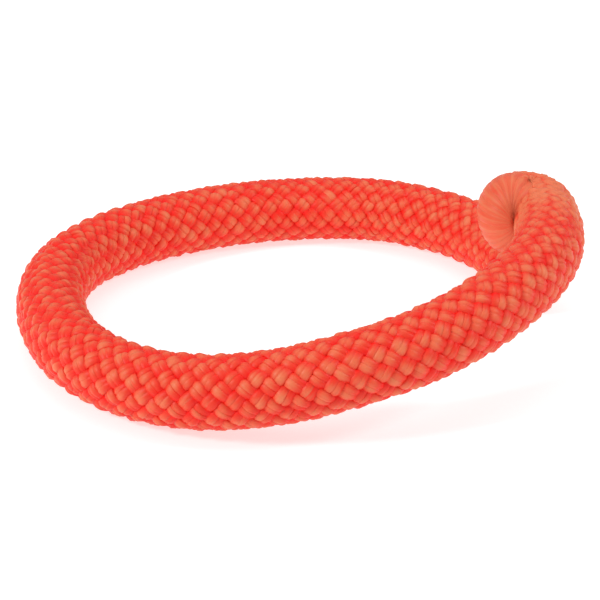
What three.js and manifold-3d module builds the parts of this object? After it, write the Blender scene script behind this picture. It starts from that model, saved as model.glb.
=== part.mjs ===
// A training bumper: a thick braided rope, filled with foam, curled once into a ring.
// Millimetres, +Z up, floor at z = 0, origin under the middle of the ring's bounding box.
import * as THREE from "three";
import { mergeVertices } from "three/addons/utils/BufferGeometryUtils.js";
import Module from "manifold-3d";

const wasm = await Module();
wasm.setup();

// ---- driving dimensions ----
const ROPE_RADIUS = 16; // outside of the braid
const COVER_THICKNESS = 3; // two crossed layers of strand
const CLEARANCE = 0.3; // between touching pieces
const KNOB_SWELL = 1; // how much fatter the curled near end is than the rope
const CORE_RADIUS = ROPE_RADIUS - COVER_THICKNESS - CLEARANCE;
const LYING = ROPE_RADIUS; // height of the rope's centreline where it lies on the floor

const ROPE_SIDES = 20; // one side faces straight down, so the rope rests on a flat strip
const CORE_SIDES = 12;
const RING_SPACING = 14; // along the centreline
const END_RINGS = 4; // rings in each rounded end

const MOUTH_RADIUS = 3.4; // hole that the drawn braid leaves at each end
const SLUG_RADIUS = MOUTH_RADIUS - CLEARANCE;
const SLUG_INSIDE = 5; // how far the fused tail reaches past the braid's inner face
const SLUG_SUNK = 2.5; // how far the tail sits below the braid's outer face
const TIE_THREAD = 0.7;
const TIE_RADIUS = SLUG_RADIUS + CLEARANCE + TIE_THREAD;
const TIE_DEPTH = 3; // from the braid's inner face to the middle of the tie
const RECESS_RADIUS = TIE_RADIUS + TIE_THREAD + CLEARANCE;
const RECESS_DEPTH = 6;

const STITCH_THREAD = 0.6;
const STITCH_RADIUS = 2.2; // middle of the thread, round the point where the ends meet
const STITCH_SPACING = 4;
const STITCH_COUNT = 3;

// Centreline from the far end, anticlockwise round the ring. It lies flat until the front
// left, then climbs by one rope diameter until the near end lies over the far end.
const ROUTE = [
  [107, 22, LYING],
  [104, 43, LYING],
  [94, 66, LYING],
  [75, 89, LYING],
  [43, 107, LYING],
  [11, 110, LYING],
  [-22, 105, LYING],
  [-58, 90, LYING],
  [-88, 67, LYING],
  [-108, 37, LYING],
  [-114, 5, LYING],
  [-110, -28, LYING],
  [-97, -61, LYING],
  [-74, -87, LYING],
  [-42, -104, 18],
  [-10, -110, 23],
  [23, -107, 30],
  [54, -95, 36],
  [79, -77, 42],
  [98, -53, 46],
  [110, -26, 48],
  [114, -3, 49],
  [114, 20, 49],
];

// The near end then curls sharply to the left, level, and its mouth faces the way it ends.
const CURL_CENTRE = [106.5, 20, 49.3];
const CURL_RADIUS = 7.5;
const CURL_TURN = THREE.MathUtils.degToRad(170);
const CURL_RUNS = 3;

function point([x, y, z]) {
  return new THREE.Vector3(x, y, z);
}

// A point of the curl's arc, and the way the rope runs there.
function curlStation(turn) {
  const out = new THREE.Vector3(Math.cos(turn), Math.sin(turn), 0);
  return {
    centre: point(CURL_CENTRE).addScaledVector(out, CURL_RADIUS),
    along: new THREE.Vector3(-out.y, out.x, 0),
  };
}

// ---- solids ----
const UP = new THREE.Vector3(0, 0, 1);

// A closed rod round a list of { centre, along } stations, with a rounded end at each end.
// Its sides circumscribe the radius, and one side faces down.
function roundEndedRod(stations, radius, sides) {
  const cornerRadius = radius / Math.cos(Math.PI / sides);
  const rings = [];
  const addEnd = ({ centre, along }, sign, order) => {
    for (const k of order) {
      const angle = (k / END_RINGS) * (Math.PI / 2);
      const offset = along.clone().multiplyScalar(sign * radius * Math.sin(angle));
      rings.push({ centre: centre.clone().add(offset), along, scale: Math.cos(angle) });
    }
  };
  const inward = Array.from({ length: END_RINGS - 1 }, (_, i) => END_RINGS - 1 - i);
  addEnd(stations[0], -1, inward);
  stations.forEach((s) => rings.push({ ...s, scale: 1 }));
  addEnd(stations.at(-1), 1, inward.toReversed());

  const positions = [];
  for (const { centre, along, scale } of rings) {
    const side = new THREE.Vector3().crossVectors(UP, along).normalize();
    const top = new THREE.Vector3().crossVectors(along, side);
    for (let i = 0; i < sides; i++) {
      const angle = ((i + 0.5) / sides) * 2 * Math.PI - Math.PI / 2;
      const p = centre.clone();
      p.addScaledVector(side, cornerRadius * scale * Math.cos(angle));
      p.addScaledVector(top, cornerRadius * scale * Math.sin(angle));
      positions.push(...p.toArray());
    }
  }
  const first = stations[0];
  const last = stations.at(-1);
  const startPole = positions.length / 3;
  positions.push(...first.centre.clone().addScaledVector(first.along, -radius).toArray());
  positions.push(...last.centre.clone().addScaledVector(last.along, radius).toArray());

  const index = [];
  for (let i = 0; i < sides; i++) {
    const j = (i + 1) % sides;
    index.push(startPole, j, i);
    const lastRing = (rings.length - 1) * sides;
    index.push(startPole + 1, lastRing + i, lastRing + j);
    for (let r = 0; r < rings.length - 1; r++) {
      const a = r * sides;
      const b = a + sides;
      index.push(a + i, a + j, b + j, a + i, b + j, b + i);
    }
  }
  const geometry = new THREE.BufferGeometry();
  geometry.setAttribute("position", new THREE.Float32BufferAttribute(positions, 3));
  geometry.setIndex(index);
  return geometry;
}

function toSolid(geometry) {
  const bare = geometry.clone();
  bare.deleteAttribute("normal");
  bare.deleteAttribute("uv");
  const merged = mergeVertices(bare, 1e-4);
  return new wasm.Manifold(
    new wasm.Mesh({
      numProp: 3,
      vertProperties: Float32Array.from(merged.attributes.position.array),
      triVerts: Uint32Array.from(merged.index.array),
    }),
  );
}

function toGeometry(solid) {
  const mesh = solid.getMesh();
  const geometry = new THREE.BufferGeometry();
  geometry.setAttribute("position", new THREE.BufferAttribute(mesh.vertProperties, 3));
  geometry.setIndex(new THREE.BufferAttribute(mesh.triVerts, 1));
  geometry.computeVertexNormals();
  return geometry;
}

// Turns a geometry made along +Y so that it runs along a direction, and moves it.
function aim(geometry, direction, centre) {
  const turn = new THREE.Quaternion().setFromUnitVectors(new THREE.Vector3(0, 1, 0), direction);
  return geometry.applyQuaternion(turn).translate(centre.x, centre.y, centre.z);
}

// The whole rope's outer shape at a given radius: the ring with its curled near end.
function ropeShape(radius, sides) {
  const curve = new THREE.CatmullRomCurve3(ROUTE.map(point), false, "centripetal");
  const steps = Math.round(curve.getLength() / RING_SPACING);
  const stations = Array.from({ length: steps + 1 }, (_, i) => {
    const centre = curve.getPointAt(i / steps);
    centre.z = Math.max(centre.z, LYING);
    return { centre, along: curve.getTangentAt(i / steps) };
  });
  let shape = toSolid(roundEndedRod(stations, radius, sides));
  for (let i = 0; i < CURL_RUNS; i++) {
    const start = curlStation((CURL_TURN * i) / CURL_RUNS).centre;
    const end = curlStation((CURL_TURN * (i + 1)) / CURL_RUNS).centre;
    const along = end.clone().sub(start).normalize();
    const run = [{ centre: start, along }, { centre: end, along }];
    const swell = (KNOB_SWELL * (i + 1)) / CURL_RUNS;
    shape = shape.add(toSolid(roundEndedRod(run, radius + swell, sides)));
  }
  return shape;
}

// Each end: its centre, the way its mouth faces, and the rope's radius there.
const CURL_END = curlStation(CURL_TURN);
const ENDS = {
  near_end: { centre: CURL_END.centre, mouth: CURL_END.along, radius: ROPE_RADIUS + KNOB_SWELL },
  far_end: {
    centre: point(ROUTE[0]),
    mouth: point(ROUTE[0]).sub(point(ROUTE[1])).normalize(),
    radius: ROPE_RADIUS,
  },
};

// A straight cylinder through an end's mouth, between two distances from the end's centre.
function mouthCylinder({ centre, mouth }, radius, from, to) {
  const middle = centre.clone().addScaledVector(mouth, (from + to) / 2);
  return aim(new THREE.CylinderGeometry(radius, radius, to - from, CORE_SIDES), mouth, middle);
}

function makeSlug(end) {
  const inner = end.radius - COVER_THICKNESS;
  return mouthCylinder(end, SLUG_RADIUS, inner - SLUG_INSIDE, end.radius - SLUG_SUNK);
}

function makeTie(end) {
  const ring = new THREE.TorusGeometry(TIE_RADIUS, TIE_THREAD, 6, 16).rotateX(Math.PI / 2);
  const depth = end.radius - COVER_THICKNESS - TIE_DEPTH;
  return aim(ring, end.mouth, end.centre.clone().addScaledVector(end.mouth, depth));
}

function makeCore() {
  let core = ropeShape(CORE_RADIUS, CORE_SIDES);
  for (const end of Object.values(ENDS)) {
    const inner = end.radius - COVER_THICKNESS;
    const recess = mouthCylinder(end, RECESS_RADIUS, inner - RECESS_DEPTH, inner + CLEARANCE);
    core = core.subtract(toSolid(recess));
  }
  return toGeometry(core);
}

// Stitches stand in upright planes across the place where the near end rests on the far end.
const MEETING = new THREE.Vector3(CURL_CENTRE[0], 26, (LYING + CURL_CENTRE[2]) / 2);
function makeStitch(i, thread) {
  const offset = (i - (STITCH_COUNT - 1) / 2) * STITCH_SPACING;
  const loop = new THREE.TorusGeometry(STITCH_RADIUS, thread, 6, 16).rotateY(Math.PI / 2);
  return loop.translate(MEETING.x + offset, MEETING.y, MEETING.z);
}

function makeCover() {
  const hollow = ropeShape(ROPE_RADIUS - COVER_THICKNESS, CORE_SIDES);
  let cover = ropeShape(ROPE_RADIUS, ROPE_SIDES).subtract(hollow);
  for (const end of Object.values(ENDS)) {
    const mouth = mouthCylinder(end, MOUTH_RADIUS, end.radius / 2, end.radius + 2);
    cover = cover.subtract(toSolid(mouth));
  }
  for (let i = 0; i < STITCH_COUNT; i++) {
    cover = cover.subtract(toSolid(makeStitch(i, STITCH_THREAD + CLEARANCE)));
  }
  return toGeometry(cover);
}

// ---- materials ----
const cordOrange = new THREE.MeshStandardMaterial({ color: 0xf0543c, roughness: 0.7 });
const foamOrange = new THREE.MeshStandardMaterial({ color: 0xd8502c, roughness: 0.9 });
const fusedOrange = new THREE.MeshStandardMaterial({ color: 0xb8321f, roughness: 0.45 });
const threadOrange = new THREE.MeshStandardMaterial({ color: 0xd9482f, roughness: 0.75 });

// ---- assembly ----
const bumper = new THREE.Group();
function add(name, geometry, material) {
  const mesh = new THREE.Mesh(geometry, material);
  mesh.name = name;
  bumper.add(mesh);
}

add("braided_cover", makeCover(), cordOrange);
add("foam_core", makeCore(), foamOrange);
for (const [name, end] of Object.entries(ENDS)) {
  add(`${name}_slug`, makeSlug(end), fusedOrange);
  add(`${name}_tie`, makeTie(end), threadOrange);
}
for (let i = 0; i < STITCH_COUNT; i++) {
  add(`joint_stitch_${i + 1}`, makeStitch(i, STITCH_THREAD), threadOrange);
}

export default bumper;
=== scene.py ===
"""A braided rope training bumper: looks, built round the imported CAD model. Metres, +Z up."""

import math

import bpy
import numpy as np
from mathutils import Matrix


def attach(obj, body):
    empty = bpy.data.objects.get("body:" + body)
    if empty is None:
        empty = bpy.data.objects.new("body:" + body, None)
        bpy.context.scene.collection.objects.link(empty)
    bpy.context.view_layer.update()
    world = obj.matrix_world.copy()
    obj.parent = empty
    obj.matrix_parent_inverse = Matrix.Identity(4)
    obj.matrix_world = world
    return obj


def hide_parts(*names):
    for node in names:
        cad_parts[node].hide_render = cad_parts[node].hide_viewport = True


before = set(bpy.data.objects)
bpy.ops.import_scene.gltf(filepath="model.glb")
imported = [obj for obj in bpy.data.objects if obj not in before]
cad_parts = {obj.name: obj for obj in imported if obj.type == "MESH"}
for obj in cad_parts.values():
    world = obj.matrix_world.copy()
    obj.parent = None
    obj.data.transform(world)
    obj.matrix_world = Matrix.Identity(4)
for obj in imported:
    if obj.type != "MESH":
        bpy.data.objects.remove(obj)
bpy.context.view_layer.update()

MM = 0.001

# ---- camera: a long lens a little above the ring, looking across it ----
CAMERA_PLACE = (0.8 * MM, -832.5 * MM, 384 * MM)
CAMERA_DOWN = math.radians(24)
CAMERA_LENS_MM = 118
CAMERA_SENSOR_MM = 36


def make_camera():
    camera = bpy.data.objects.new("camera", bpy.data.cameras.new("camera"))
    camera.data.lens = CAMERA_LENS_MM
    camera.data.sensor_width = CAMERA_SENSOR_MM
    camera.location = CAMERA_PLACE
    camera.rotation_euler = (math.pi / 2 - CAMERA_DOWN, 0, 0)
    bpy.context.scene.collection.objects.link(camera)
    bpy.context.scene.camera = camera


make_camera()

# ---- the rope's route: the CAD model's own points, from the far end round to the near end ----
LYING = 16
ROUTE_MM = [
    (107, 22, LYING),
    (104, 43, LYING),
    (94, 66, LYING),
    (75, 89, LYING),
    (43, 107, LYING),
    (11, 110, LYING),
    (-22, 105, LYING),
    (-58, 90, LYING),
    (-88, 67, LYING),
    (-108, 37, LYING),
    (-114, 5, LYING),
    (-110, -28, LYING),
    (-97, -61, LYING),
    (-74, -87, LYING),
    (-42, -104, 18),
    (-10, -110, 23),
    (23, -107, 30),
    (54, -95, 36),
    (79, -77, 42),
    (98, -53, 46),
    (110, -26, 48),
    (114, -3, 49),
    (114, 20, 49),
]
CURL_CENTRE_MM = (106.5, 20, 49.3)
CURL_RADIUS_MM = 7.5
CURL_TURN = math.radians(170)
ROUTE_STEPS = 60  # points between two route points
CURL_STEPS = 60


def smooth_step(share):
    share = np.clip(share, 0, 1)
    return share * share * (3 - 2 * share)


def catmull_rom(points, steps):
    """A centripetal Catmull-Rom curve through the points, as fine as steps says."""
    points = np.vstack([2 * points[0] - points[1], points, 2 * points[-1] - points[-2]])
    line = []
    for p0, p1, p2, p3 in zip(points, points[1:], points[2:], points[3:]):
        t1 = np.linalg.norm(p1 - p0) ** 0.5
        t2 = t1 + np.linalg.norm(p2 - p1) ** 0.5
        t3 = t2 + np.linalg.norm(p3 - p2) ** 0.5
        t = np.linspace(t1, t2, steps, endpoint=False)[:, None]
        a1 = ((t1 - t) * p0 + t * p1) / t1
        a2 = ((t2 - t) * p1 + (t - t1) * p2) / (t2 - t1)
        a3 = ((t3 - t) * p2 + (t - t2) * p3) / (t3 - t2)
        b1 = ((t2 - t) * a1 + t * a2) / t2
        b2 = ((t3 - t) * a2 + (t - t1) * a3) / (t3 - t1)
        line.append(((t2 - t) * b1 + (t - t1) * b2) / (t2 - t1))
    return np.vstack([*line, points[-2]])


def rope_centreline():
    """The whole centreline in metres, and the distance along it where the curl starts."""
    route = catmull_rom(np.array(ROUTE_MM, float), ROUTE_STEPS)
    route[:, 2] = np.maximum(route[:, 2], LYING)
    turn = np.linspace(0, CURL_TURN, CURL_STEPS + 1)[1:]
    climb = (CURL_CENTRE_MM[2] - route[-1, 2]) * smooth_step(turn / CURL_TURN)
    curl = np.column_stack(
        [
            CURL_CENTRE_MM[0] + CURL_RADIUS_MM * np.cos(turn),
            CURL_CENTRE_MM[1] + CURL_RADIUS_MM * np.sin(turn),
            route[-1, 2] + climb,
        ]
    )
    line = np.vstack([route, curl]) * MM
    along = np.concatenate([[0], np.cumsum(np.linalg.norm(np.diff(line, axis=0), axis=1))])
    return line, along, along[len(route) - 1]


LINE, ALONG, CURL_START = rope_centreline()
LENGTH = ALONG[-1]

# ---- the braid's surface: places by distance along the rope, angle round it and lift ----
# The angle is 0 at the inside of the ring's bend and a quarter turn on top.
BRAID_RADIUS = 14.1 * MM  # middle of the two crossed layers
SWELL = 0.3 * MM  # the curled near end is this much fatter
KNOB_RISE = 0.1  # and its upper half this much taller
KNOB_HANG = 0.3  # the lower half of its rounded end hangs this much lower
KNOB_HANG_FROM = 0.4  # fully so from this share of its radius past the rim
KNOB_SNUG = 0.5  # and leans on the rope beside it, by this share of its depth under the mouth
SNUG_REACH = 6 * MM  # the lean grows from nothing to full over this, up to beyond the mouth
CORE_FACE = 12.8 * MM  # the strands lie on the foam core here, at the rope's own thickness
CREASE_KEEP = 0.98  # how near the inside of a sharp bend comes to the bend's own axis
CREASE_REACH = 6 * MM  # this near the axis, the braid is crowded up and down out of the crease
CREASE_CROWD = 0.14  # by this share at the axis
LEAST_STRETCH = 0.2  # the braid is never pressed together more than this along a bend's inside
LEAST_BEND = 1e-3  # per metre; a straight stretch counts as bent this much
LEAST_GAP = 0.01 * MM  # the shortest stretch over which a bend is averaged
SLIDE_ROUNDS = 8
FLOOR_FLAT = 0.1 * MM  # the yarn that touches the floor is pressed flat this high
MOUTH_LIP = 0.7 * MM  # radius of the fold where the strands turn into the mouth
MOUTH_START = 1.2 * MM  # how far from the mouth's axis the fold begins
MOUTH_TALL = 1.9  # the mouth is drawn into an upright slit, this much taller
MOUTH_THIN = 0.35  # and this much thinner than a round one
MOUTH_SHIFT = 3 * MM  # the mouth lies this much nearer to the inside of the bend
TUCK = 4 * MM  # how far the strands go in through the mouth
LEAST_MOUTH = 0.05 * MM  # nothing comes nearer to the mouth's axis
RIM_STEPS, LIP_STEPS, TUCK_STEPS = 60, 24, 8


def mouth_profile(radius):
    """Distance along, radius, height and outward normal, from a rounded end's rim into its mouth."""
    sphere_turn = math.acos(MOUTH_START / radius)
    psi = np.linspace(0, sphere_turn, RIM_STEPS)
    rim = np.column_stack([radius * np.cos(psi), radius * np.sin(psi), np.cos(psi), np.sin(psi)])
    fold = np.linspace(sphere_turn, math.pi, LIP_STEPS)[1:]
    lip_centre = rim[-1, :2] - MOUTH_LIP * rim[-1, 2:]
    lip = np.column_stack(
        [
            lip_centre[0] + MOUTH_LIP * np.cos(fold),
            lip_centre[1] + MOUTH_LIP * np.sin(fold),
            np.cos(fold),
            np.sin(fold),
        ]
    )
    tuck = lip[-1] - np.linspace(0, TUCK, TUCK_STEPS)[1:, None] * np.array([0, 1, 0, 0])
    profile = np.vstack([rim, lip, tuck])
    steps = np.linalg.norm(np.diff(profile[:, :2], axis=0), axis=1)
    return np.concatenate([[0], np.cumsum(steps)]), profile


FAR_PROFILE = mouth_profile(BRAID_RADIUS)
NEAR_PROFILE = mouth_profile(BRAID_RADIUS + SWELL)
FAR_CAP = FAR_PROFILE[0][-1]
NEAR_CAP = NEAR_PROFILE[0][-1]


def on_line(values, s):
    """A quantity that is known at each point of the centreline, at distances s along it."""
    return np.stack([np.interp(s, ALONG, values[:, k]) for k in range(3)], axis=-1)


def line_frames():
    """Direction, inward side, top and curvature at each point of the centreline."""
    along = np.gradient(LINE, ALONG, axis=0)
    along /= np.linalg.norm(along, axis=1)[:, None]
    side = np.cross((0, 0, 1), along)
    side /= np.linalg.norm(side, axis=1)[:, None]
    top = np.cross(along, side)
    bend = (np.gradient(along, ALONG, axis=0) * side).sum(1)
    return along, side, top, np.maximum(bend, LEAST_BEND)


def running_total(rate, s):
    """What a rate per metre, known at distances s, adds up to from the first of them."""
    return np.concatenate([[0], np.cumsum((rate[1:] + rate[:-1]) / 2 * np.diff(s))])


DIRECTION, SIDE, TOP, BEND = line_frames()
TURN = running_total(BEND, ALONG)


def mean_bend(s_from, s_to):
    """Mean curvature of the centreline between two distances along it."""
    gap = s_to - s_from
    gap = np.where(np.abs(gap) < LEAST_GAP, LEAST_GAP, gap)
    return (np.interp(s_from + gap, ALONG, TURN) - np.interp(s_from, ALONG, TURN)) / gap


def slide(s, theta, radius, distance):
    """The s reached from s by going a distance along the braid itself, at one angle round it."""
    reached = s + distance
    for _ in range(SLIDE_ROUNDS):
        stretch = 1 - mean_bend(s, reached) * radius * np.cos(theta)
        reached = (reached + s + distance / np.maximum(stretch, LEAST_STRETCH)) / 2
    return reached


def curled(s):
    """0 along the rope, rising to 1 from the curl's start to its end."""
    return np.clip((s - CURL_START) / (LENGTH - CURL_START), 0, 1)


def tube_radius(s):
    """Radius of the braid's middle at a distance s along the rope."""
    return BRAID_RADIUS + SWELL * curled(s)


def room_radius(s):
    """Distance of the braid's middle from the rope's axis, the rounded ends included."""
    radius = tube_radius(np.clip(s, 0, LENGTH))
    for past, profile in ((-s, FAR_PROFILE), (s - LENGTH, NEAR_PROFILE)):
        radius = np.where(past > 0, np.interp(past, profile[0], profile[1][:, 0]), radius)
    return radius


def rounded_end(past, profile, theta, lift):
    """Inward, up and outward from the rim, for points that are past it on a rounded end."""
    rho, rise, out, up = (np.interp(past, profile[0], profile[1][:, k]) for k in range(4))
    ball = profile[1][0, 0]
    drawn = 1 - rho / ball
    rho_lifted = np.maximum(rho + lift * out, LEAST_MOUTH)
    flat_in = rho_lifted * np.cos(theta) * (1 - (1 - MOUTH_THIN) * drawn)
    flat_in = flat_in + MOUTH_SHIFT * drawn**2
    flat_up = rho_lifted * np.sin(theta) * (1 + (MOUTH_TALL - 1) * drawn)
    # drawn towards the slit, a point stays on the same rounded end and so rises or falls
    ball = ball + np.maximum(lift, 0)
    dome = np.sqrt(np.maximum(ball**2 - flat_in**2 - flat_up**2, 0))
    dome = dome - np.sqrt(np.maximum(ball**2 - rho_lifted**2, 0))
    return flat_in, flat_up, rise + lift * up + dome


def knob_shape(s, inward, upward, height):
    """The near end, taller above and hanging below, where it leans on the rope beside it."""
    # only the near end has a height above 0, so the far one neither hangs nor leans
    hanging = smooth_step(height / (KNOB_HANG_FROM * (BRAID_RADIUS + SWELL)))
    upward = upward * np.where(upward > 0, 1 + KNOB_RISE * curled(s), 1 + KNOB_HANG * hanging)
    leaning = hanging * smooth_step((inward + SNUG_REACH / 3) / SNUG_REACH)
    return inward + KNOB_SNUG * leaning * np.maximum(-upward, 0), upward


def crease_shape(s, inward, upward):
    """The tight inside of the curl, where the braid stops at the bend's own axis."""
    on_tube = (s >= 0) & (s <= LENGTH)
    bend = np.interp(np.clip(s, 0, LENGTH), ALONG, BEND)
    inward = np.where(on_tube, np.minimum(inward, CREASE_KEEP / bend), inward)
    near_axis = np.where(on_tube, np.clip(1 - (1 / bend - inward) / CREASE_REACH, 0, 1), 0)
    return inward, upward * (1 + CREASE_CROWD * near_axis**2)


def braid_place(s, theta, lift):
    """Points on the braid. s runs past both ends of the centreline, into the mouths."""
    inside = np.clip(s, 0, LENGTH)
    radius = tube_radius(inside) + lift
    inward, upward, height = radius * np.cos(theta), radius * np.sin(theta), np.zeros_like(s)
    for past, profile, sign in ((-s, FAR_PROFILE, -1), (s - LENGTH, NEAR_PROFILE, 1)):
        cap_in, cap_up, cap_height = rounded_end(past, profile, theta, lift)
        inward = np.where(past > 0, cap_in, inward)
        upward = np.where(past > 0, cap_up, upward)
        height = np.where(past > 0, sign * cap_height, height)
    inward, upward = knob_shape(s, inward, upward, height)
    inward, upward = crease_shape(s, inward, upward)
    place = on_line(LINE, inside) + inward[..., None] * on_line(SIDE, inside)
    place = place + upward[..., None] * on_line(TOP, inside)
    place = place + height[..., None] * on_line(DIRECTION, inside)
    place[..., 2] = np.maximum(place[..., 2], FLOOR_FLAT)
    return place


# ---- the braid's pattern ----
STRANDS = 10  # in each direction
YARNS = 2  # side by side in each strand
STRAND_WIDTH = 6.3 * MM
FILL = 0.97  # share of its room that a strand fills where the braid is pressed together
YARN_THICK = 2.2 * MM
YARN_OVERLAP = 1.42  # a yarn is this much wider than its share of the strand
MOUTH_OVERLAP = 1.8  # the same where the strands run straight into a mouth
KNOB_OVERLAP = 0.4  # and this much is added where the braid is pushed together
ARCH = 0.7 * MM  # the edges of a strand lie this far below its middle
THICK_ON_TOP = 0.12  # a yarn is thicker by this share on top, and thinner by it underneath
DRAWN_THICK = 0.72  # share of its thickness left where it no longer crosses others
WEAVE = 0.88 * MM  # a strand rises and dips this far as it goes over and under
KNOB_WEAVE = 0.5  # share of that left where the braid is pushed together
FLOAT_SQUARENESS = 0.8  # below 1, a strand stays up longer and dives more steeply
FLOAT_LEAN = 0.25  # radians by which it is highest before the middle of its stay on top
# painted light: a float's tone is paler at one end of its stay on top and deeper at the other, as if
# lit from one side
FLOAT_PAINTED_LIGHT = 0.35  # its tone falls by twice this over that stay
SQUEEZED_FROM = 0.85  # where a bend presses the braid to less than this, the lays cross less
SQUEEZED_FULL = 0.3  # and from here one lay simply lies on the other
PICK = 10.3 * MM  # along the ring's outer side, from one strand on top to the next
KNOB_PICK = 7.4 * MM  # the same in the curled end, where the braid is pushed together
PUSHED_START = 45 * MM  # before the curl, the pick begins to shrink here
PUSHED_DONE = 5 * MM  # and it is as short as in the curl from here
BEND_REACH = 5 * MM  # a sharp bend is felt this far before it begins
END_EASE = 12 * MM  # over this stretch the strands stop crossing and run into a mouth
NEAR_STRAIGHT = 2 * MM  # they have stopped crossing this far before the rounded end
PICK_STEPS = 11  # rings of vertices for each pick
CAP_STEP = 1.1 * MM  # between rings of vertices where the strands run straight
FINE_STEPS = 20000  # in the running totals along the rope
YARN_SIDES = 8
WANDER = 0.2 * MM  # how far a yarn strays sideways and up
WANDER_SIDEWAYS_OVER = 7 * MM  # it strays to a new place over this distance
WANDER_UP_OVER = 6 * MM
WOVEN_PLY = 0.25  # how plainly the plies show in the woven braid, against 1 in the drawn ends
YARN_SHIFT = 11.3  # in the filament pattern, so that no two yarns show the same filaments
YARN_TONE = 0.12  # spread of the yarns' own tones
DRIFT_TONE = 0.15  # spread of the tone along a yarn
DRIFT_TONE_OVER = 5 * MM
# painted light: the curled end is made paler, as if lit more brightly than the rest of the ring
KNOB_PAINTED_LIGHT = 1.05  # the tone is raised this much where the braid is pushed together
RANDOM = np.random.default_rng(7)


def ease(s):
    """1 along the rope, falling to 0 where the strands run straight into a mouth."""
    near = (LENGTH - NEAR_STRAIGHT - s) / END_EASE
    far = s / END_EASE
    return smooth_step(np.minimum(near, far))


def pushed(s):
    """0 along the rope, rising to 1 in the curled end, where the braid is pushed together."""
    return smooth_step((PUSHED_START - CURL_START + s) / (PUSHED_START - PUSHED_DONE))


def turn_rate(s):
    """How fast a strand turns round the rope at s, in radians per metre."""
    inside = np.clip(s, 0, LENGTH)
    pick = PICK + (KNOB_PICK - PICK) * pushed(s)
    outer_stretch = 1 + BRAID_RADIUS * mean_bend(inside - BEND_REACH, inside + BEND_REACH)
    return 2 * math.pi / STRANDS * outer_stretch / pick * ease(s)


def strand_stations():
    """Where the rings of vertices are: distance, turn so far and turn rate."""
    fine = np.linspace(-FAR_CAP, LENGTH + NEAR_CAP, FINE_STEPS)
    rate = turn_rate(fine)
    turned = running_total(rate, fine)
    # a whole number of half picks lets the two lays lie side by side in both mouths
    half_picks = round(STRANDS * turned[-1] / math.pi)
    scale = half_picks * math.pi / STRANDS / turned[-1]
    density = np.maximum(STRANDS * rate / (2 * math.pi) * PICK_STEPS, 1 / CAP_STEP)
    rings = running_total(density, fine)
    s = np.interp(np.linspace(0, rings[-1], round(rings[-1])), rings, fine)
    return s, np.interp(s, fine, turned * scale), np.interp(s, fine, rate * scale)


STATION, TURNED, RATE = strand_stations()
# 1 where the strands cross, falling to 0 over the quarter turn of the pattern before a mouth,
# in which the strands of one lay move in between those of the other
WOVEN = np.clip(STRANDS * np.minimum(TURNED, TURNED[-1] - TURNED) / (math.pi / 2), 0, 1)


def wander(spacing, spread):
    """A slow random drift along the rope, with a new level every spacing."""
    knots = int((STATION[-1] - STATION[0]) / spacing) + 3
    levels = RANDOM.normal(0, spread, knots)
    at = (STATION - STATION[0]) / spacing
    first = at.astype(int)
    share = smooth_step(at - first)
    return levels[first] * (1 - share) + levels[first + 1] * share


def strand_stretch(theta, radius):
    """How long the braid is at theta, against the centreline: below 1 inside a bend."""
    bend = np.interp(np.clip(STATION, 0, LENGTH), ALONG, BEND)
    on_tube = (STATION >= 0) & (STATION <= LENGTH)
    return np.where(on_tube, np.maximum(1 - bend * radius * np.cos(theta), LEAST_STRETCH), 1)


def crossings(hand, stretch):
    """How far up a strand is, from -1 to 1, how much it crosses others, and the painted light along
    its stay on top.
    """
    # where a sharp bend squeezes the braid, one lay simply lies on the other
    squeezed = smooth_step((stretch - SQUEEZED_FULL) / (SQUEEZED_FROM - SQUEEZED_FULL))
    squeezed = WOVEN * (1 - squeezed)
    calm = WOVEN - squeezed
    wave = STRANDS * TURNED
    over = np.sin(wave + hand * FLOAT_LEAN * np.sin(wave)) * hand
    over = np.sign(over) * np.abs(over) ** FLOAT_SQUARENESS * calm + squeezed * hand
    # the last value is painted light along each float, paler where it rises and deeper where it dives
    return over, calm, FLOAT_PAINTED_LIGHT * hand * np.cos(wave) * calm


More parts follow.
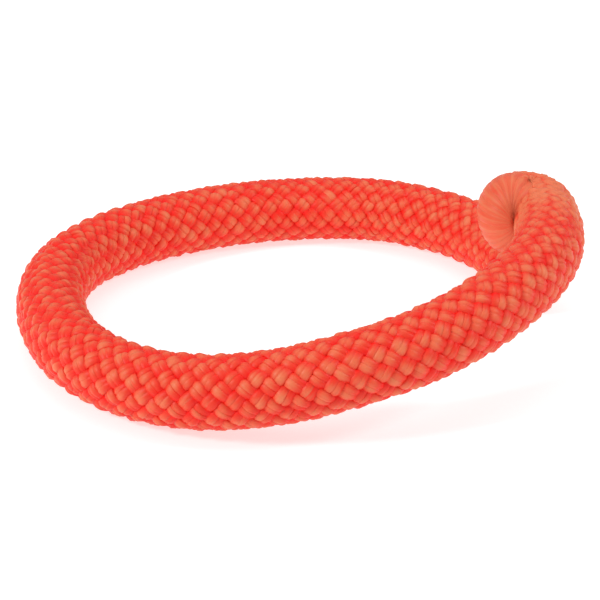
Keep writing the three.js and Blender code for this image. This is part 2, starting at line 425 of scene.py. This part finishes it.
def yarn_rings(index, hand, yarn):
    """Places, crown and tone of one yarn's vertices, the tone holding painted light. hand is 1 or -1.
    """
    shift = 0 if hand > 0 else 0.5
    theta = 2 * math.pi * (index + shift) / STRANDS + hand * TURNED
    radius = room_radius(STATION)
    stretch = strand_stretch(theta, radius)
    over, calm, float_painted_light = crossings(hand, stretch)

    # a strand's room, of which it has only half where the two lays lie side by side
    slope = radius * RATE * hand
    norm = np.hypot(stretch, slope)
    room = 2 * math.pi * radius / STRANDS * stretch / norm * (1 + WOVEN) / 2
    strand_width = np.minimum(room * FILL, STRAND_WIDTH)
    yarn_width = strand_width / YARNS
    drift = wander(WANDER_SIDEWAYS_OVER, WANDER) * calm
    across_middle = (yarn - (YARNS - 1) / 2) * yarn_width + drift

    # the yarn's own section, and how it sits on the arched strand
    thick = YARN_THICK * (1 + THICK_ON_TOP * over) * (DRAWN_THICK + (1 - DRAWN_THICK) * calm)
    woven_overlap = YARN_OVERLAP + KNOB_OVERLAP * pushed(STATION)
    overlap = MOUTH_OVERLAP + (woven_overlap - MOUTH_OVERLAP) * WOVEN
    phi = 2 * math.pi * np.arange(YARN_SIDES) / YARN_SIDES - math.pi / 2
    across = across_middle[:, None] + np.cos(phi) * (yarn_width * overlap / 2)[:, None]
    half_width = strand_width / 2
    arch = ARCH * np.minimum(half_width / (STRAND_WIDTH / 2), 1)
    up = np.sin(phi) * (thick / 2)[:, None] - arch[:, None] * (across / half_width[:, None]) ** 2

    weave = WEAVE * (1 - (1 - KNOB_WEAVE) * pushed(STATION))
    lift = weave * over + WEAVE * (1 - WOVEN) + wander(WANDER_UP_OVER, WANDER) * calm
    lifted = np.maximum(lift[:, None] + up, CORE_FACE - BRAID_RADIUS)
    theta_at = theta[:, None] + across * (stretch / (norm * radius))[:, None]
    s_at = slide(STATION[:, None], theta_at, radius[:, None], -across * (slope / norm)[:, None])
    # crown is the height of the yarn's surface; the yarn material paints shade from it in the gaps and
    # light on the crowns
    crown = 0.5 + 0.5 * lifted / (WEAVE + YARN_THICK / 2)

    # yarns differ half as much in the drawn ends; the pushed-together end is painted paler, painted
    # light as if it were lit more brightly, and the painted light along each float is added last
    tone = RANDOM.normal(0, YARN_TONE) + wander(DRIFT_TONE_OVER, DRIFT_TONE)
    tone = 0.5 + tone * (1 + WOVEN) / 2 + KNOB_PAINTED_LIGHT * pushed(STATION) * (2 + WOVEN) / 3
    return braid_place(s_at, theta_at, lifted), crown, tone + float_painted_light


def strands_piece(name, hand, indices):
    """One mesh of some of the strands that turn the same way round the rope."""
    rings, sides = len(STATION), YARN_SIDES
    column = np.arange(sides)
    ring = np.stack([column, column + sides, (column + 1) % sides + sides, (column + 1) % sides], 1)
    quads = (np.arange(rings - 1)[:, None, None] * sides + ring).reshape(-1, 4)
    # round a yarn, the last face ends at 1 and not at 0 again
    v_of_face = np.stack([column, column, column + 1, column + 1], 1) / sides
    u_of_face = np.stack([STATION[:-1], STATION[1:], STATION[1:], STATION[:-1]], 1) / MM
    places, crowns, tones, plies, faces, uvs = [], [], [], [], [], []
    ply = WOVEN_PLY + (1 - WOVEN_PLY) * (1 - WOVEN)
    for index in indices:
        for yarn in range(YARNS):
            place, crown, tone = yarn_rings(index, hand, yarn)
            faces.append(quads + len(places) * rings * sides)
            places.append(place.reshape(-1, 3))
            crowns.append(crown.ravel())
            tones.append(np.repeat(tone, sides))
            plies.append(np.repeat(ply, sides))
            u = np.repeat(u_of_face, sides, axis=0) + YARN_SHIFT * (index * YARNS + yarn)
            uvs.append(np.stack([u, np.tile(v_of_face, (rings - 1, 1))], -1).reshape(-1, 2))
    places, faces = np.vstack(places), np.vstack(faces)
    mesh = bpy.data.meshes.new(name)
    mesh.vertices.add(len(places))
    mesh.vertices.foreach_set("co", places.astype(np.float32).ravel())
    mesh.loops.add(faces.size)
    mesh.loops.foreach_set("vertex_index", faces.astype(np.int32).ravel())
    mesh.polygons.add(len(faces))
    mesh.polygons.foreach_set("loop_start", np.arange(0, faces.size, 4, dtype=np.int32))
    mesh.polygons.foreach_set("use_smooth", np.ones(len(faces), bool))
    mesh.update(calc_edges=True)
    mesh.uv_layers.new(name="yarn").data.foreach_set("uv", np.vstack(uvs).astype(np.float32).ravel())
    for attribute, values in (("crown", crowns), ("tone", tones), ("ply", plies)):
        layer = mesh.attributes.new(attribute, "FLOAT", "POINT")
        layer.data.foreach_set("value", np.concatenate(values).astype(np.float32))
    piece = bpy.data.objects.new(name, mesh)
    bpy.context.scene.collection.objects.link(piece)
    return piece


# ---- materials ----
def new_material(name):
    material = bpy.data.materials.new(name)
    material.use_nodes = True
    tree = material.node_tree
    return material, tree, tree.nodes["Principled BSDF"]


def node(tree, kind, **settings):
    """A new node. A setting is one of its inputs, or else one of its own properties."""
    made = tree.nodes.new(kind)
    for key, value in settings.items():
        if key in made.inputs:
            made.inputs[key].default_value = value
        else:
            setattr(made, key, value)
    return made


def multiply_add(tree, source, factor, addend):
    """source * factor + addend, where addend is a number or another node's output."""
    made = node(tree, "ShaderNodeMath", operation="MULTIPLY_ADD")
    tree.links.new(source, made.inputs[0])
    made.inputs[1].default_value = factor
    if isinstance(addend, float):
        made.inputs[2].default_value = addend
    else:
        tree.links.new(addend, made.inputs[2])
    return made.outputs[0]


def ramp(tree, source, stops):
    """A colour that runs through the stops, each a place from 0 to 1 and a colour."""
    made = tree.nodes.new("ShaderNodeValToRGB")
    elements = made.color_ramp.elements
    while len(elements) < len(stops):
        elements.new(0.5)
    for element, (at, colour) in zip(elements, stops):
        element.position = at
        element.color = (*colour, 1)
    tree.links.new(source, made.inputs["Fac"])
    return made.outputs["Color"]


FILAMENTS = (0.16, 11, 1)  # noise per millimetre along a yarn, and per turn round it
PLIES = 4  # round a whole yarn
PLY_RELIEF = 0.8  # depth of the grooves between plies, against the filaments' own
# painted shade and light: deep saturated red in the gaps, paler towards the crowns, as the light falls
# on the braid
YARN_SHADE_AND_TONE_COLOURS = [  # from the gaps to the crowns
    (0.15, (0.88, 0.003, 0.002)),
    (0.40, (0.86, 0.015, 0.007)),
    (0.65, (0.82, 0.051, 0.022)),
    (0.95, (0.80, 0.182, 0.080)),
]


def yarn_material():
    """Satin polypropylene yarn with fine filaments, and painted light and shade: paler on the crowns,
    deeper in the gaps.
    """
    material, tree, shader = new_material("braid_yarn")
    link = tree.links.new
    shader.inputs["Roughness"].default_value = 0.45
    shader.inputs["Specular IOR Level"].default_value = 0.25

    uv = node(tree, "ShaderNodeUVMap", uv_map="yarn")
    stretch = node(tree, "ShaderNodeMapping", vector_type="POINT")
    stretch.inputs["Scale"].default_value = FILAMENTS
    link(uv.outputs["UV"], stretch.inputs["Vector"])
    filaments = node(tree, "ShaderNodeTexNoise", Scale=1.0, Detail=4.0, Roughness=0.65)
    link(stretch.outputs["Vector"], filaments.inputs["Vector"])

    # two plies on the side of a yarn that shows, parted by a groove along its middle
    parts = node(tree, "ShaderNodeSeparateXYZ")
    link(uv.outputs["UV"], parts.inputs[0])
    turn = multiply_add(tree, parts.outputs["Y"], PLIES * 2 * math.pi, -math.pi / 2)
    wave = node(tree, "ShaderNodeMath", operation="SINE")
    link(turn, wave.inputs[0])
    ply = node(tree, "ShaderNodeAttribute", attribute_name="ply")
    plies = node(tree, "ShaderNodeMath", operation="MULTIPLY")
    link(wave.outputs[0], plies.inputs[0])
    link(ply.outputs["Fac"], plies.inputs[1])
    relief = multiply_add(tree, plies.outputs[0], PLY_RELIEF, filaments.outputs["Fac"])

    crown = node(tree, "ShaderNodeAttribute", attribute_name="crown")
    tone = node(tree, "ShaderNodeAttribute", attribute_name="tone")
    place = node(tree, "ShaderNodeTexCoord")
    mottle = node(tree, "ShaderNodeTexNoise", Scale=60.0, Detail=3.0)
    link(place.outputs["Object"], mottle.inputs["Vector"])

    # painted shade in the gaps (0) to painted light on the crowns (1), stirred by filaments, strand
    # tone and mottling; the ply grooves are painted darker too, as shade
    level = multiply_add(tree, crown.outputs["Fac"], 0.85, -0.4)
    for source, weight in (
        (filaments.outputs["Fac"], 0.30),
        (tone.outputs["Fac"], 0.30),
        (mottle.outputs["Fac"], 0.10),
        (plies.outputs[0], 0.08),
    ):
        level = multiply_add(tree, source, weight, level)
    link(ramp(tree, level, YARN_SHADE_AND_TONE_COLOURS), shader.inputs["Base Color"])

    bump = node(tree, "ShaderNodeBump", Strength=0.6, Distance=0.0002)
    link(relief, bump.inputs["Height"])
    link(bump.outputs["Normal"], shader.inputs["Normal"])
    return material


def textured_material(name, roughness, texture, output, stops, bump_strength, bump_depth):
    """One procedural texture that sets both the colour and a fine relief.

    texture is a node's kind and its settings, and output the one of its outputs to use.
    """
    material, tree, shader = new_material(name)
    shader.inputs["Roughness"].default_value = roughness
    place = node(tree, "ShaderNodeTexCoord")
    kind, settings = texture
    pattern = node(tree, kind, **settings)
    tree.links.new(place.outputs["Object"], pattern.inputs["Vector"])
    tree.links.new(ramp(tree, pattern.outputs[output], stops), shader.inputs["Base Color"])
    bump = node(tree, "ShaderNodeBump", Strength=bump_strength, Distance=bump_depth)
    tree.links.new(pattern.outputs[output], bump.inputs["Height"])
    tree.links.new(bump.outputs["Normal"], shader.inputs["Normal"])
    return material


def foam_material():
    """Matt closed-cell foam with fine round cells. Its deep red is painted shade for the gaps between
    strands, where it shows through.
    """
    cells = ("ShaderNodeTexVoronoi", {"Scale": 900.0})
    stops = [(0.0, (0.50, 0.030, 0.015)), (0.6, (0.66, 0.055, 0.025))]
    return textured_material("core_foam", 0.9, cells, "Distance", stops, 0.6, 0.3 * MM)


def fused_material():
    """Melted yarn: darker, smoother and slightly lumpy."""
    lumps = ("ShaderNodeTexNoise", {"Scale": 700.0, "Detail": 4.0})
    stops = [(0.3, (0.30, 0.015, 0.010)), (0.7, (0.55, 0.035, 0.020))]
    return textured_material("fused_yarn", 0.35, lumps, "Fac", stops, 0.5, 0.3 * MM)


def thread_material():
    """Waxed thread, with fine fibres."""
    fibres = ("ShaderNodeTexNoise", {"Scale": 2500.0, "Detail": 4.0})
    stops = [(0.3, (0.55, 0.030, 0.015)), (0.7, (0.80, 0.080, 0.040))]
    return textured_material("waxed_thread", 0.45, fibres, "Fac", stops, 0.4, 0.1 * MM)


YARN, FOAM, FUSED, THREAD = yarn_material(), foam_material(), fused_material(), thread_material()

# ---- the two lays of strands, which together are the cover ----
HALF_LAY = STRANDS // 2
strands = [
    strands_piece(f"strands_{lay}_lay_{half + 1}", hand, range(half * HALF_LAY, (half + 1) * HALF_LAY))
    for lay, hand in (("right", 1), ("left", -1))
    for half in range(2)
]
for piece in strands:
    piece.data.materials.append(YARN)
    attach(piece, "root")
    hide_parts("braided_cover")

# ---- carried-over CAD nodes ----
for name, material in (
    ("foam_core", FOAM),
    ("near_end_slug", FUSED),
    ("far_end_slug", FUSED),
    ("near_end_tie", THREAD),
    ("far_end_tie", THREAD),
    ("joint_stitch_1", THREAD),
    ("joint_stitch_2", THREAD),
    ("joint_stitch_3", THREAD),
):
    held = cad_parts[name]
    held.data.materials.clear()
    held.data.materials.append(material)


# ---- studio ----
FLOOR_SIZE = 12
FLOOR_GREY = 0.62
FLOOR_GLOW = 0.6  # lifts the floor to the photo's nearly white
WORLD_STRENGTH = 0.46


def add_floor():
    bpy.ops.mesh.primitive_plane_add(size=FLOOR_SIZE)
    floor = bpy.context.object
    floor.name = "studio_floor"
    material, _, shader = new_material("studio_floor")
    shader.inputs["Base Color"].default_value = (FLOOR_GREY, FLOOR_GREY, FLOOR_GREY, 1)
    shader.inputs["Roughness"].default_value = 0.9
    shader.inputs["Emission Color"].default_value = (1, 1, 1, 1)
    shader.inputs["Emission Strength"].default_value = FLOOR_GLOW
    floor.data.materials.append(material)


def add_area_light(name, place, size, power):
    """A square soft white light that faces the ring."""
    light = bpy.data.objects.new(name, bpy.data.lights.new(name, "AREA"))
    light.data.shape, light.data.size = "SQUARE", size
    light.data.energy = power
    light.location = place
    aim = -np.array(place, float)
    light.rotation_euler = (
        math.atan2(math.hypot(aim[0], aim[1]), -aim[2]),
        0,
        math.atan2(-aim[0], aim[1]),
    )
    bpy.context.scene.collection.objects.link(light)


def add_lights():
    world = bpy.data.worlds.new("studio")
    world.use_nodes = True
    background = world.node_tree.nodes["Background"]
    background.inputs["Color"].default_value = (1, 1, 1, 1)
    background.inputs["Strength"].default_value = WORLD_STRENGTH
    bpy.context.scene.world = world
    add_area_light("left", (-1.5, -0.7, 1.2), 0.4, 18.5)
    add_area_light("right", (1.4, -0.3, 1.2), 0.4, 10.5)
    add_area_light("top", (0, 0.3, 1.4), 1.2, 4.5)


add_floor()
add_lights()
bpy.context.scene.view_settings.view_transform = "Standard"
